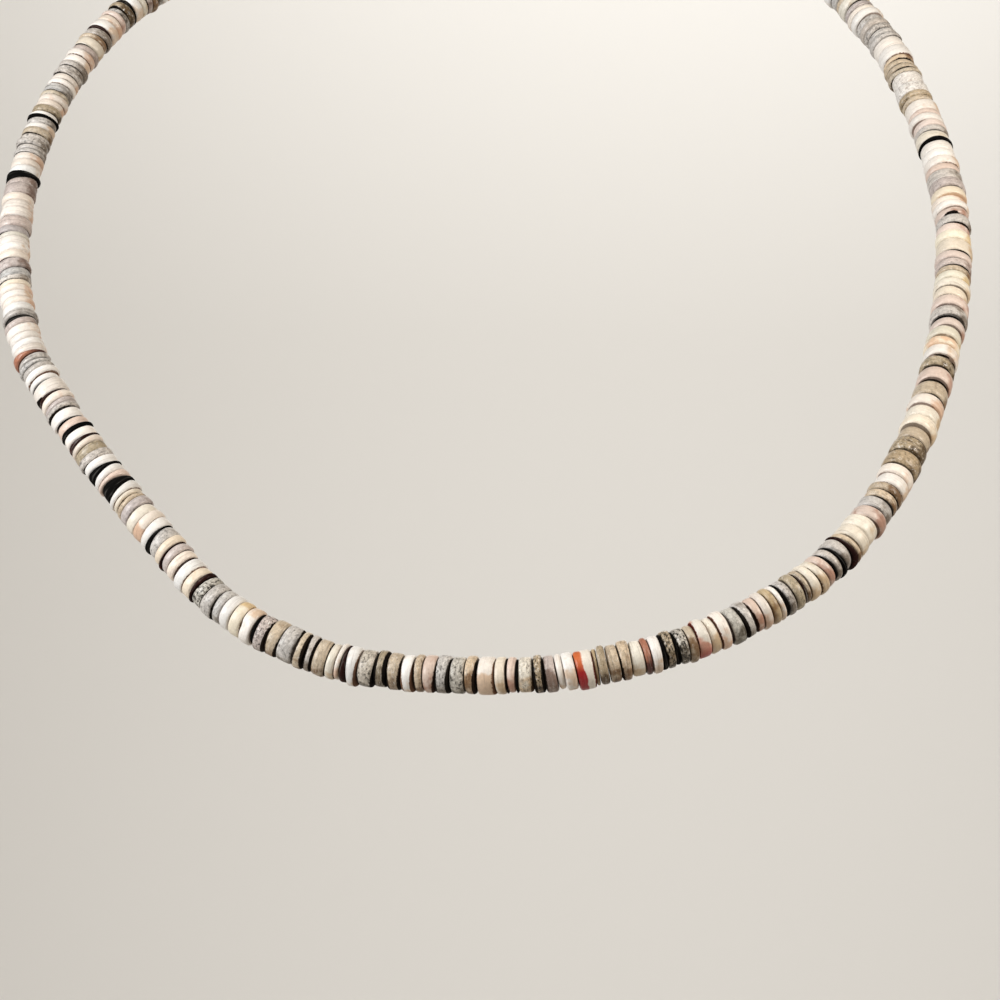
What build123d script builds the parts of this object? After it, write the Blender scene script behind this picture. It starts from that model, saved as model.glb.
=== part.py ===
from build123d import *
import math
import os

os.makedirs("parts", exist_ok=True)

# The worn loop, measured to the middle of the thread
LOOP_WIDTH = 132.5
LOOP_DEPTH = 124.0
LOOP_RISE = 112.8  # height of the nape above the front
LOOP_ARCH = 6.2  # how far the sides stand above a straight line from front to nape
FRONT_DROP = 50.5  # how far the front hangs below the origin

# The discs and their thread
DISC_DIAMETER = 5.0
DISC_GAP = 0.12
RIM_CLEARANCE = 0.015  # least room between two rims on the inside of a bend
RIM_CHAMFER = 0.1
THREAD_DIAMETER = 0.9
THICKNESS_UNIT = 0.1  # what one step in the disc charts stands for

# The barrel clasp at the nape
CLASP_LENGTH = 11.0
CLASP_DIAMETER = 4.4
CLASP_NECK_DIAMETER = 2.2
CLASP_NECK_LENGTH = 1.2
CLASP_SHOULDER = 0.8

# Each side's string of discs is joined along its thread in this many solids
STRETCHES_PER_SIDE = 7
STRETCH_GAP = 0.2
THINNEST_LAST_DISC = 0.6

# The route seen from above: across and back from the neck's axis. It starts at the front,
# where the two charts meet, and goes round by the +X side.
ROUTE = [
    (3.5, -54.8), (16.0, -54.0), (31.2, -50.5), (44.9, -43.8), (54.5, -34.4), (61.0, -21.7),
    (64.6, -6.0), (64.4, 8.0), (60.8, 23.0), (54.0, 39.0), (42.5, 54.0), (25.0, 65.2),
    (1.0, 69.2), (-24.0, 65.8), (-44.0, 55.8), (-58.0, 42.0), (-65.2, 27.0), (-67.9, 12.0),
    (-67.0, -2.3), (-62.4, -15.5), (-53.6, -26.8), (-41.9, -38.2), (-29.8, -48.0), (-14.5, -53.6),
]
ROUTE_STEPS = 24  # fine steps from one route point to the next

# Discs from the front outwards: a letter for the kind of shell, then the thickness in
# THICKNESS_UNIT. A dash is bare thread of that length.
RIGHT_CHART = """
W20 -2 C10 N3 K7 B4 A14 -4 S9 -3 M13 W8 W11 Z9 W15 D5 A9 -3 A11 -3 A12 C15
T8 W12 B5 O10 B5 O11 A11 Z15 C13 P12 N4 S13 -4 G11 -3 K10 P11 D11 W6 B5
G10 O11 N5 A5 C12 C12 K10 B5 G8 B6 G11 N8 A7 C18 C21 K14 B6 G11 B6 A9
A12 W18 P13 B6 O16 B6 O17 B6 A16 C20 C19 P16 B5 A20 B5 A20 B5 G13 N5 W18
R16 Y18 K14 B5 G14 B5 K19 C17 C15 Y14 A7 B6 M9 B4 K10 B4 C20 Y17 K13 B5
G14 N13 W12 P12 R12 B5 M15 G18 B5 K9 W15 W15 W17 B7 C16 G10 K12 W13 K11 W23
A10 O11 W21 W23 A9 A9 A9 A9 W22 W24 G11 G11 G11 G13
"""
LEFT_CHART = """
-4 A11 S15 -4 G14 -4 K12 A9 -3 W12 -4 A13 -4 O11 -4 S15 -5 W11 N7 P6 C12 A15 -4
G8 -3 A9 -4 G18 -3 A14 -4 M14 B5 W15 Y16 W14 K13 -4 G15 S15 N5 C15 W15 N5 P11 M11 N6
C12 G14 B7 W14 P15 C15 M14 A8 C8 W12 B16 K9 W10 B11 W13 G13 O14 P8 N7 W13 B6 K12 B6
W14 G9 M9 P9 N7 W19 B5 W8 W11 O10 G9 G7 T10 P12 W12 P12 W13 M9 B8 G10 W13 P12 W12 P11
C8 G9 G15 M14 N6 P14 W13 P13 C9 M13 M16 N6 P14 P14 P14 M19 M15 B12 W13 P12 P12 G9 G9
G11 G11 A13 W11 G10 B7 W8 O12 P12 P11 A8 G10 G6 W8 N4 P9 G9 G9
"""
# Goes on from either chart to the clasp, over and over
NAPE_CHART = """
G12 W13 P11 M9 B5 C14 A10 G12 N6 W15 P12 K9 G10 O11 B7 W14 C12 M10 A9 G14 W11 P13
N5 G9 A12 C15 B6 W12 K10 G11 M12 W16 O9 P10 A11 G12
"""

# How wide the string is along each side: share of the way to the clasp, share of DISC_DIAMETER
RIGHT_WIDTHS = [(0.0, 1.01), (0.35, 1.02), (0.48, 1.06), (0.60, 1.03), (1.0, 0.99)]
LEFT_WIDTHS = [(0.0, 1.01), (0.30, 0.99), (0.55, 0.96), (0.68, 0.93), (1.0, 0.97)]
# The discs' own unevenness, taken in turn
DISC_SHARES = (1.00, 0.97, 1.02, 0.98, 1.02, 0.96, 1.01, 0.99, 0.95, 1.02, 0.98)


DRAWN_WIDTH = max(x for x, y in ROUTE) - min(x for x, y in ROUTE)
DRAWN_FRONT = min(y for x, y in ROUTE)
DRAWN_DEPTH = max(y for x, y in ROUTE) - DRAWN_FRONT


def side_height(y):
    """Height of the route at a place y, from the side profile."""
    share = y / LOOP_DEPTH - DRAWN_FRONT / DRAWN_DEPTH
    return LOOP_RISE * share + 4 * LOOP_ARCH * share * (1 - share) - FRONT_DROP


def route_line():
    """Closed fine line through the route's points, with how far along it each one lies."""
    points = [
        Vector(x * LOOP_WIDTH / DRAWN_WIDTH, y * LOOP_DEPTH / DRAWN_DEPTH) for x, y in ROUTE
    ]
    line = []
    for i in range(len(points)):
        a, b, c, d = (points[(i + k) % len(points)] for k in (-1, 0, 1, 2))
        for step in range(ROUTE_STEPS):
            t = step / ROUTE_STEPS
            spot = (
                b * 2
                + (c - a) * t
                + (a * 2 - b * 5 + c * 4 - d) * t**2
                + (b * 3 - a - c * 3 + d) * t**3
            ) / 2
            line.append(Vector(spot.X, spot.Y, side_height(spot.Y)))
    line.append(line[0])
    along = [0.0]
    for a, b in zip(line, line[1:]):
        along.append(along[-1] + (b - a).length)
    return line, along


def share_at(table, at):
    """Value of a two-column table at a place between its rows."""
    for (low, a), (high, b) in zip(table, table[1:]):
        if at <= high:
            return a + (b - a) * (at - low) / (high - low)
    return table[-1][1]


LINE, ALONG = route_line()
LOOP_LENGTH = ALONG[-1]
NAPE = ALONG[max(range(len(LINE)), key=lambda i: LINE[i].Y)]


def thread_plane(distance):
    """Plane across the thread at a distance along the route from the front, +X side first."""
    distance %= LOOP_LENGTH
    i = max(k for k in range(len(ALONG) - 1) if ALONG[k] <= distance)
    share = (distance - ALONG[i]) / (ALONG[i + 1] - ALONG[i])
    before = LINE[i] - LINE[i - 1] if i else LINE[0] - LINE[-2]
    here = LINE[i + 1] - LINE[i]
    after = LINE[(i + 2) % (len(LINE) - 1)] - LINE[i + 1]
    start = before.normalized() + here.normalized()
    end = here.normalized() + after.normalized()
    heading = start * (1 - share) + end * share
    return Plane(origin=LINE[i] + here * share, z_dir=heading)


def rim_radius(number, share_of_side, widths):
    """Radius of a side's disc, from its number and its share of the way to the clasp."""
    share = share_at(widths, share_of_side) * DISC_SHARES[number % len(DISC_SHARES)]
    return DISC_DIAMETER * share / 2


def charted_discs(chart, widths, room, place):
    """(start, thickness) of each disc from the front outwards.

    Two discs stand DISC_GAP apart, or more where a bend would bring their rims together.
    The last disc is as thick as the room that is left.
    """
    discs = []
    at = DISC_GAP / 2
    while True:
        for token in chart.split():
            size = float(token[1:]) * THICKNESS_UNIT
            last = at + size + DISC_GAP + THINNEST_LAST_DISC > room
            if token[0] == "-" and not last:
                at += size
                continue
            middle = at + size / 2
            radius = rim_radius(len(discs), middle / room, widths)
            heading = thread_plane(place(middle)).z_dir
            if discs:
                turn = math.radians(heading.get_angle(heading_before))
                at = max(at, end_before + RIM_CLEARANCE + min(radius, radius_before) * turn)
            if last:
                discs.append((at, room - at - DISC_GAP))
                return discs
            discs.append((at, size))
            end_before = at + size
            heading_before = heading
            radius_before = radius
            at = end_before + DISC_GAP
        chart = NAPE_CHART


def build_side(side, chart, widths, room, place):
    """Writes one side's string of discs as a few solids.

    place(distance) gives the distance along the route for a distance from the front.
    """
    discs = charted_discs(chart, widths, room, place)
    edges = [round(k * len(discs) / STRETCHES_PER_SIDE) for k in range(STRETCHES_PER_SIDE + 1)]
    for number, (first, last) in enumerate(zip(edges, edges[1:]), start=1):
        rims = []
        with BuildPart() as stretch:
            for k in range(first, last):
                start, size = discs[k]
                if k == first and k > 0:
                    size -= STRETCH_GAP - DISC_GAP
                    start += STRETCH_GAP - DISC_GAP
                middle = start + size / 2
                rims.append(rim_radius(k, middle / room, widths))
                with BuildSketch(thread_plane(place(middle))):
                    Circle(rims[-1])
                extrude(amount=size / 2, both=True)
                if k > first:
                    here = thread_plane(place(middle)).origin
                    axis = before - here
                    with BuildSketch(Plane(origin=here, z_dir=axis)):
                        Circle(THREAD_DIAMETER / 2)
                    extrude(amount=axis.length)
                before = thread_plane(place(middle)).origin
            round_edges = stretch.edges().filter_by(GeomType.CIRCLE)
            chamfer(round_edges.filter_by(lambda e: e.radius > min(rims) - RIM_CHAMFER), RIM_CHAMFER)
        name = f"beads_{side}_{number}"
        stretch.part.label = name
        export_step(stretch.part, f"parts/{name}.step")
    return discs


# Clasp: one plain barrel with a short neck at each end, where the thread goes in
clasp_plane = thread_plane(NAPE)
half = CLASP_LENGTH / 2
barrel_half = half - CLASP_NECK_LENGTH
with BuildPart() as clasp:
    with BuildSketch(Plane(origin=clasp_plane.origin, x_dir=clasp_plane.x_dir, z_dir=clasp_plane.y_dir)):
        with BuildLine():
            Polyline(
                (0, -half),
                (CLASP_NECK_DIAMETER / 2, -half),
                (CLASP_NECK_DIAMETER / 2, -barrel_half),
                (CLASP_DIAMETER / 2 - CLASP_SHOULDER, -barrel_half),
                (CLASP_DIAMETER / 2, -barrel_half + CLASP_SHOULDER),
                (CLASP_DIAMETER / 2, barrel_half - CLASP_SHOULDER),
                (CLASP_DIAMETER / 2 - CLASP_SHOULDER, barrel_half),
                (CLASP_NECK_DIAMETER / 2, barrel_half),
                (CLASP_NECK_DIAMETER / 2, half),
                (0, half),
                close=True,
            )
        make_face()
    revolve(axis=Axis(clasp_plane.origin, clasp_plane.z_dir))
clasp.part.label = "clasp"
export_step(clasp.part, "parts/clasp.step")

# The discs of each side stop where the clasp begins
RIGHT_ROOM = NAPE - CLASP_LENGTH / 2
LEFT_ROOM = LOOP_LENGTH - NAPE - CLASP_LENGTH / 2
right = build_side("right", RIGHT_CHART, RIGHT_WIDTHS, RIGHT_ROOM, lambda at: at)
left = build_side("left", LEFT_CHART, LEFT_WIDTHS, LEFT_ROOM, lambda at: LOOP_LENGTH - at)
print("loop length", round(LOOP_LENGTH, 1), "discs", len(right), "and", len(left))
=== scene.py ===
"""Looks of a heishi necklace: thin drilled shell discs on a dark waxed thread, and a barrel clasp.

Lengths are in millimetres until a mesh is placed, and MM turns them into metres.
"""

import logging
import math
import random
import re
from bisect import bisect_right
from collections.abc import Callable, Sequence
from dataclasses import dataclass, field
from enum import Enum

import bmesh
import bpy
from mathutils import Matrix, Vector


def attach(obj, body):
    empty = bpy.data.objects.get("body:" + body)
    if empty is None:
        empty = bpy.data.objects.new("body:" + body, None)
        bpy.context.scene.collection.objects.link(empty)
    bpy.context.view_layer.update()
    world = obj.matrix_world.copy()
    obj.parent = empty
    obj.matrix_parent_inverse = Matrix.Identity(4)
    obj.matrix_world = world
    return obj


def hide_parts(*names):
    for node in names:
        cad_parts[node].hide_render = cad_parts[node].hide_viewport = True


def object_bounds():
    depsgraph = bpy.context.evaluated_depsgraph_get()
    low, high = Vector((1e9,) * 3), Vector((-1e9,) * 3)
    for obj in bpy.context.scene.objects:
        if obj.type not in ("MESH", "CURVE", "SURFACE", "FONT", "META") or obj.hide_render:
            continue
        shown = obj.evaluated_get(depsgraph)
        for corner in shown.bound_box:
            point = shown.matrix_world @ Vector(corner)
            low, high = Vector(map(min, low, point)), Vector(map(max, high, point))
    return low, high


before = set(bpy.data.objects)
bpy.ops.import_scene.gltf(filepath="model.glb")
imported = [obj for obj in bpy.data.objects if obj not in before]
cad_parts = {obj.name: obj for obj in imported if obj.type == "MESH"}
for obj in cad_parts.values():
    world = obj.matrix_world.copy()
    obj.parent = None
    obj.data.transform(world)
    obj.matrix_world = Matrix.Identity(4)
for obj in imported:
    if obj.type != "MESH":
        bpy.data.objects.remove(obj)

CAD_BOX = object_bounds()
MM = 0.001
ROOT = "root"

log = logging.getLogger("heishi")

Colour = tuple[float, float, float]
Place = tuple[float, float, float]
Socket = bpy.types.NodeSocket
MeshPart = bmesh.types.BMVert | bmesh.types.BMEdge | bmesh.types.BMFace


def linear(colour: Colour) -> Colour:
    """Turns a screen colour into scene-linear values.

    Args:
        colour: its values, 0 to 255.

    Returns:
        The scene-linear values, 0 to 1.
    """
    return tuple(
        value / 255 / 12.92 if value <= 10.3 else ((value / 255 + 0.055) / 1.055) ** 2.4
        for value in colour
    )


def blended(first: Colour, second: Colour, share: float) -> Colour:
    """Colour at a share of the way from the first to the second."""
    return tuple(a + (b - a) * share for a, b in zip(first, second))


def smooth(low: float, high: float, value: float) -> float:
    """Rises gently from 0 at low to 1 at high."""
    share = min(max((value - low) / (high - low), 0.0), 1.0)
    return share * share * (3 - 2 * share)


def table_value(table: Sequence[tuple[float, float]], at: float) -> float:
    """Reads a table of two columns at a place between its rows.

    Args:
        table: rows of a place and its value, in order.
        at: the place.

    Returns:
        The value there, or the last one beyond the table's end.
    """
    for (low, a), (high, b) in zip(table, table[1:]):
        if at <= high:
            return a + (b - a) * (at - low) / (high - low)
    return table[-1][1]


# Finishes


class Shell(Enum):
    """Kinds of shell, by their letter in the disc charts."""

    WHITE = "W"
    CREAM = "C"
    YELLOW = "Y"
    PEACH = "P"
    PINK = "K"
    CORAL = "R"
    TERRACOTTA = "T"
    ORANGE = "Z"
    MAUVE = "M"
    GREY = "G"
    TAN = "A"
    OLIVE = "O"
    OCHRE = "D"
    BLACK = "B"
    RUST = "N"
    SMOKE = "U"
    SPECKLED = "S"


class Mark(Enum):
    """What sets one disc apart from its kind, by the small letter after its thickness.

    The patch colour of a BLEEDING disc runs in from its near face. A WEDGED disc is thicker on
    its outer side, as the dark ones are, and OPEN_INWARDS turns that round. A JOINED disc has
    no dark layer where it meets the one before it.
    """

    PATCH_ABOVE = "p"
    PATCH_BELOW = "q"
    PATCH_IN_FRONT = "f"
    BLEEDING = "r"
    NOTCHED = "n"
    PROUD = "o"
    SPECKS = "s"
    CRACKED = "k"
    WEDGED = "v"
    OPEN_INWARDS = "u"
    JOINED = "j"


@dataclass(frozen=True)
class ShellTone:
    """Colours and grain of one kind of shell.

    Attributes:
        body: main colour, 0 to 255.
        patch: colour of the warmer patches: the shell's own clouding, and painted shade where they gather
            on the side away from the key light.
        face: colour of dark layers and specks, and of the drilled faces and their edges, where it is
            painted shade of the gaps between discs.
        cloud: how far the patches cloud the body, 0 to 1.
        below: how far the patch colour gathers on the lower side, away from the key light, as painted
            shade, 0 to 1.
        layers: strength of the fine growth layers, 0 to 1.
        specks: strength of the dark specks, 0 to 1.
        low: colour of the patches at the bottom of the disc, where it differs.
        gap: how far each face keeps from the middle of the room between two discs.
        gloss: how polished it is, 0 to 1.
    """

    body: Colour
    patch: Colour
    face: Colour
    cloud: float = 0.35
    below: float = 0.5
    layers: float = 0.3
    specks: float = 0.15
    low: Colour | None = None
    gap: float = 0.02
    gloss: float = 1.0


# Body, patch and face, then cloud, below, layers and specks
TONES = {
    Shell.WHITE: ShellTone((247, 244, 240), (226, 203, 180), (118, 88, 70), 0.2, 0.85, 0.35, 0.08),
    Shell.CREAM: ShellTone((242, 234, 219), (215, 190, 157), (84, 64, 48), 0.3, 0.8, 0.45, 0.15),
    Shell.YELLOW: ShellTone((241, 234, 216), (221, 197, 154), (110, 84, 54), 0.3, 0.7, 0.35, 0.1),
    Shell.PEACH: ShellTone((243, 235, 226), (224, 192, 168), (98, 64, 50), 0.3, 1.0, 0.4, 0.08),
    Shell.PINK: ShellTone((227, 209, 198), (190, 150, 132), (64, 42, 34), 0.4, 0.8, 0.4, 0.15),
    Shell.CORAL: ShellTone((244, 231, 209), (238, 202, 170), (214, 184, 156), 0.3, 0.4, 0.3, 0.1),
    Shell.TERRACOTTA: ShellTone((174, 120, 98), (84, 38, 32), (50, 22, 18), 0.2, 0.3, 0.4, 0.3),
    Shell.ORANGE: ShellTone(
        (247, 242, 232), (214, 112, 62), (96, 34, 26), 0.2, 0.3, 0.2, 0.1, low=(168, 36, 42), gap=0.0
    ),
    Shell.MAUVE: ShellTone((202, 191, 187), (142, 122, 113), (42, 34, 30), 0.4, 0.9, 0.5, 0.6, gap=0.03),
    Shell.GREY: ShellTone((206, 202, 198), (136, 126, 116), (28, 23, 19), 0.45, 0.9, 0.6, 0.9, gap=0.03),
    Shell.TAN: ShellTone((208, 192, 169), (136, 108, 80), (32, 24, 18), 0.4, 0.9, 0.6, 0.7, gap=0.03),
    Shell.OLIVE: ShellTone((184, 168, 142), (100, 82, 58), (20, 15, 11), 0.45, 0.9, 0.6, 1.0, gap=0.03),
    Shell.OCHRE: ShellTone((200, 178, 142), (144, 114, 78), (48, 34, 24), 0.4, 0.6, 0.4, 0.2, gap=0.03),
    Shell.BLACK: ShellTone((5, 4, 4), (22, 14, 11), (4, 3, 3), 0.1, 0.2, 0.2, 0.0, gap=0.03, gloss=0.0),
    Shell.RUST: ShellTone((42, 17, 14), (86, 38, 30), (16, 7, 7), 0.4, 0.3, 0.5, 0.1, gap=0.03, gloss=0.1),
    # Smoky discs are thin dark-brown lines between discs, coloured as the shaded gaps look: partly dark
    # shell and partly painted shade
    Shell.SMOKE: ShellTone((58, 43, 32), (84, 64, 48), (12, 8, 6), 0.3, 0.3, 0.5, 0.1, gap=0.03, gloss=0.1),
    Shell.SPECKLED: ShellTone((207, 203, 194), (114, 107, 95), (22, 18, 15), 0.45, 0.8, 0.4, 1.3, gap=0.03),
}
DARK_KINDS = frozenset((Shell.BLACK, Shell.RUST, Shell.SMOKE))


class Nodes:
    """Adds the nodes of one material and joins them."""

    def __init__(self, name: str) -> None:
        """Starts a material with only its output.

        Args:
            name: of the material.
        """
        self.material = bpy.data.materials.new(name)
        self.material.use_nodes = True
        self.tree = self.material.node_tree
        self.tree.nodes.clear()
        self.output = self.tree.nodes.new("ShaderNodeOutputMaterial")

    def add(self, kind: str, **settings: object) -> bpy.types.Node:
        """Adds a node.

        Args:
            kind: its Blender name, without ShaderNode.
            settings: its own settings, by name.

        Returns:
            The node.
        """
        node = self.tree.nodes.new(f"ShaderNode{kind}")
        for name, value in settings.items():
            setattr(node, name, value)
        return node

    def put(self, target: Socket, value: Socket | float | Sequence[float]) -> None:
        """Joins a socket to another, or sets it.

        Args:
            target: the socket.
            value: another socket, a number, a colour or a vector.
        """
        if isinstance(value, bpy.types.NodeSocket):
            self.tree.links.new(value, target)
        elif isinstance(value, (int, float)):
            target.default_value = value
        else:
            target.default_value = [*value, 1.0] if len(target.default_value) > len(value) else value

    def math(self, operation: str, *values: Socket | float, clamp: bool = False) -> Socket:
        """Works out one operation on numbers.

        Args:
            operation: its Blender name.
            values: its inputs.
            clamp: whether the result is kept within 0 to 1.

        Returns:
            The result.
        """
        node = self.add("Math", operation=operation, use_clamp=clamp)
        for target, value in zip(node.inputs, values):
            self.put(target, value)
        return node.outputs[0]

    def vector(self, operation: str, *values: Socket | Sequence[float]) -> Socket:
        """Works out one operation on vectors.

        Args:
            operation: its Blender name.
            values: its inputs.

        Returns:
            The result.
        """
        node = self.add("VectorMath", operation=operation)
        for target, value in zip(node.inputs, values):
            self.put(target, value)
        return node.outputs["Vector"]

    def step(self, value: Socket, low: float, high: float) -> Socket:
        """Rises gently from 0 to 1, or falls if low is above high.

        Args:
            value: what is judged.
            low: where the result is 0.
            high: where it is 1.

        Returns:
            The result, 0 to 1.
        """
        node = self.add("MapRange", interpolation_type="SMOOTHSTEP")
        falls = low > high
        limits = (min(low, high), max(low, high), float(falls), float(not falls))
        for target, setting in zip(node.inputs, (value, *limits)):
            self.put(target, setting)
        return node.outputs[0]

    def mix(self, share: Socket | float, first: Socket | Colour, second: Socket | Colour) -> Socket:
        """Mixes two colours.

        Args:
            share: of the second colour.
            first: the first colour.
            second: the second colour.

        Returns:
            The mixed colour.
        """
        node = self.add("Mix", data_type="RGBA")
        for number, value in zip((0, 6, 7), (share, first, second)):
            self.put(node.inputs[number], value)
        return node.outputs[2]

    def swing(self, noise: Socket, reach: Socket | float) -> Socket:
        """Turns noise around 0.5 into a swing of a reach around 0."""
        return self.math("MULTIPLY", self.math("SUBTRACT", noise, 0.5), reach)

    def attribute(self, name: str) -> bpy.types.bpy_prop_collection:
        """Outputs of an attribute that the discs carry."""
        return self.add("Attribute", attribute_name=name).outputs

    def parts(self, kind: str, value: Socket) -> list[Socket]:
        """Parts a colour or a vector into its three values.

        Args:
            kind: of node that parts it.
            value: the colour or vector.

        Returns:
            The three values.
        """
        node = self.add(kind)
        self.put(node.inputs[0], value)
        return node.outputs[:3]

    def place(self) -> Socket:
        """Finds the place in the piece.

        Returns:
            The place, in millimetres.
        """
        place = self.vector("SCALE", self.add("TexCoord").outputs["Object"])
        self.put(place.node.inputs["Scale"], 1 / MM)
        return place

    def noise(self, place: Socket, scale: float, detail: float, roughness: float = 0.55) -> Socket:
        """Adds soft noise.

        Args:
            place: in millimetres.
            scale: per millimetre.
            detail: how many finer layers it has.
            roughness: how strong those are.

        Returns:
            The noise, about 0 to 1 around 0.5.
        """
        node = self.add("TexNoise")
        self.put(node.inputs["Vector"], place)
        self.put(node.inputs["Scale"], scale)
        self.put(node.inputs["Detail"], detail)
        self.put(node.inputs["Roughness"], roughness)
        return node.outputs["Fac"]

    def surface(self, **settings: Socket | float | Sequence[float]) -> None:
        """Adds the shader and joins it to the output.

        Args:
            settings: what the shader's inputs are set or joined to, by name.
        """
        shader = self.add("BsdfPrincipled")
        for name, value in settings.items():
            self.put(shader.inputs[name.replace("_", " ").title().replace("Ior", "IOR")], value)
        self.put(self.output.inputs["Surface"], shader.outputs[0])

    def bump(self, height: Socket, reach: float) -> Socket:
        """Turns a height into normals.

        Args:
            height: 0 to 1.
            reach: how far a height of 1 stands proud, in metres.

        Returns:
            The normals.
        """
        node = self.add("Bump")
        self.put(node.inputs["Strength"], 1.0)
        self.put(node.inputs["Distance"], reach)
        self.put(node.inputs["Height"], height)
        return node.outputs[0]


@dataclass(frozen=True)
class ShellFinish:
    """Worn natural shell, whose colours and grain each disc carries as attributes, with some painted shade
    and painted glints.

    Attributes:
        polished: roughness of a glossy disc, before its own variation.
        matt: roughness of a dull one.
        relief: how far the grain stands proud, in millimetres.
        ragged: how far the edge of a dark layer wanders, in tenths of a millimetre.
        clouds: scale of the patches' edges, per millimetre.
        sheets: scale of the growth layers, along them and through them.
        mottle: scale of the fine mottle.
        spots: scale of the specks and sparks.
        gap_shade: how far the painted shade of the gap between two discs reaches from a drilled face round
            its edge, in millimetres.
        chalk: scene-linear colour of the pale growth layers.
        pearl_and_glint: scene-linear colour of the sparks, pale flecks that are partly the nacre's own and
            partly painted glints.
    """

    polished: float = 0.40
    matt: float = 0.85
    relief: float = 0.05
    ragged: float = 3.2
    clouds: float = 0.62
    sheets: tuple[float, float] = (0.25, 4.6)
    mottle: float = 2.3
    spots: float = 1.9
    gap_shade: float = 0.055
    chalk: Colour = (0.80, 0.77, 0.72)
    pearl_and_glint: Colour = (0.86, 0.85, 0.82)

    def material(self) -> bpy.types.Material:
        """Makes the material.

        Returns:
            The material.
        """
        nodes = Nodes("shell_disc")
        body, patch, face, grain = map(nodes.attribute, ("body", "patch", "face", "grain"))
        local = nodes.attribute("local")["Vector"]
        place = nodes.vector("ADD", local, nodes.attribute("seed")["Vector"])
        layering, speckling, half = nodes.parts("SeparateColor", grain["Color"])

        # Patches that cloud the body
        wander = nodes.swing(nodes.noise(place, self.clouds, 2.5, 0.5), 2.0)
        cover = nodes.step(nodes.math("ADD", patch["Alpha"], wander), 0.25, 0.8)
        colour = nodes.mix(cover, body["Color"], patch["Color"])

        # Growth layers, parallel to the drilled faces
        along, through = self.sheets
        sheets = nodes.noise(nodes.vector("MULTIPLY", place, (along, along, through)), 1.0, 3.0, 0.6)
        layered = nodes.math("MULTIPLY", nodes.step(sheets, 0.52, 0.7), layering)
        colour = nodes.mix(nodes.math("MULTIPLY", layered, 0.6), colour, face["Color"])
        pale = nodes.math("MULTIPLY", nodes.step(sheets, 0.46, 0.3), 0.45)
        colour = nodes.mix(nodes.math("MULTIPLY", pale, layering), colour, self.chalk)

        # Fine mottle, dark specks, and pearly sparks: pale flecks, partly the nacre's own and partly
        # painted glints
        mottle = nodes.noise(place, self.mottle, 5.0, 0.7)
        tone = nodes.add("HueSaturation")
        shade = nodes.swing(mottle, nodes.math("MULTIPLY_ADD", speckling, 1.3, 0.4))
        nodes.put(tone.inputs["Value"], nodes.math("ADD", shade, 1.0))
        nodes.put(tone.inputs["Color"], colour)
        blotched = nodes.vector("MULTIPLY", place, (1.0, 1.0, 1.7))
        spots = nodes.noise(blotched, self.spots, 4.0, 0.75)
        specks = nodes.step(nodes.math("MULTIPLY_ADD", speckling, 0.06, spots), 0.59, 0.72)
        specks = nodes.math("MULTIPLY", specks, speckling)
        colour = nodes.mix(nodes.math("MULTIPLY", specks, 0.7), tone.outputs[0], face["Color"])
        # Pale flecks, partly the nacre's own and partly painted glints
        sparks = nodes.math("MULTIPLY", nodes.step(spots, 0.42, 0.33), speckling)
        colour = nodes.mix(nodes.math("MULTIPLY", sparks, 0.85), colour, self.pearl_and_glint)

        # Dark layers along the faces, partly the shell's own and partly painted shade of the gaps between
        # discs, and painted shade on the drilled faces and their edges
        ragged = nodes.swing(mottle, self.ragged)
        near, far = (
            nodes.step(nodes.math("ADD", layer["Alpha"], ragged), -0.5, 0.4) for layer in (body, face)
        )
        height = nodes.math("ABSOLUTE", nodes.parts("SeparateXYZ", local)[2])
        # Painted shade of the gap between discs: near each face the rim darkens towards the face colour,
        # with a ragged edge
        depth = nodes.math("SUBTRACT", half, height)
        worn = nodes.math("ADD", depth, nodes.math("MULTIPLY", ragged, 0.02))
        gap_shade = nodes.math("MULTIPLY", nodes.step(worn, self.gap_shade, 0.0), 0.75)
        dark = nodes.math("MAXIMUM", nodes.math("MAXIMUM", near, far), gap_shade)
        colour = nodes.mix(dark, colour, face["Color"])

        # Gloss and relief
        gloss = nodes.math("MULTIPLY", grain["Alpha"], nodes.math("SUBTRACT", 1.0, dark))
        rough = nodes.math("MULTIPLY_ADD", gloss, self.polished - self.matt, self.matt)
        grains = nodes.math("MULTIPLY", mottle, 0.6)
        relief = nodes.math("MULTIPLY_ADD", sheets, 0.4, grains)
        nodes.surface(
            base_color=colour,
            roughness=nodes.math("ADD", rough, nodes.swing(mottle, 0.3), clamp=True),
            specular_ior_level=0.1,
            coat_weight=nodes.math("MULTIPLY", gloss, 0.7),
            coat_roughness=0.28,
            normal=nodes.bump(nodes.math("MULTIPLY_ADD", specks, -0.35, relief), self.relief * MM),
        )
        return nodes.material


@dataclass(frozen=True)
class CordFinish:
    """Dark waxed thread of twisted plies.

    Attributes:
        colour: of the waxed fibres.
        fuzz: colour where the fibres catch the light.
        fibres: scale of the fibres, per millimetre.
        relief: how far they stand proud, in millimetres.
    """

    colour: Colour = (26, 21, 18)
    fuzz: Colour = (64, 52, 42)
    fibres: float = 6.0
    relief: float = 0.04

    def material(self) -> bpy.types.Material:
        """Makes the material.

        Returns:
            The material.
        """
        nodes = Nodes("waxed_thread")
        place = nodes.place()
        fibres = nodes.noise(place, self.fibres, 4.0, 0.7)
        colour = nodes.mix(nodes.step(fibres, 0.45, 0.75), linear(self.colour), linear(self.fuzz))
        nodes.surface(
            base_color=colour,
            roughness=nodes.math("ADD", nodes.math("MULTIPLY", fibres, 0.3), 0.4),
            normal=nodes.bump(fibres, self.relief * MM),
        )
        return nodes.material


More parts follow.
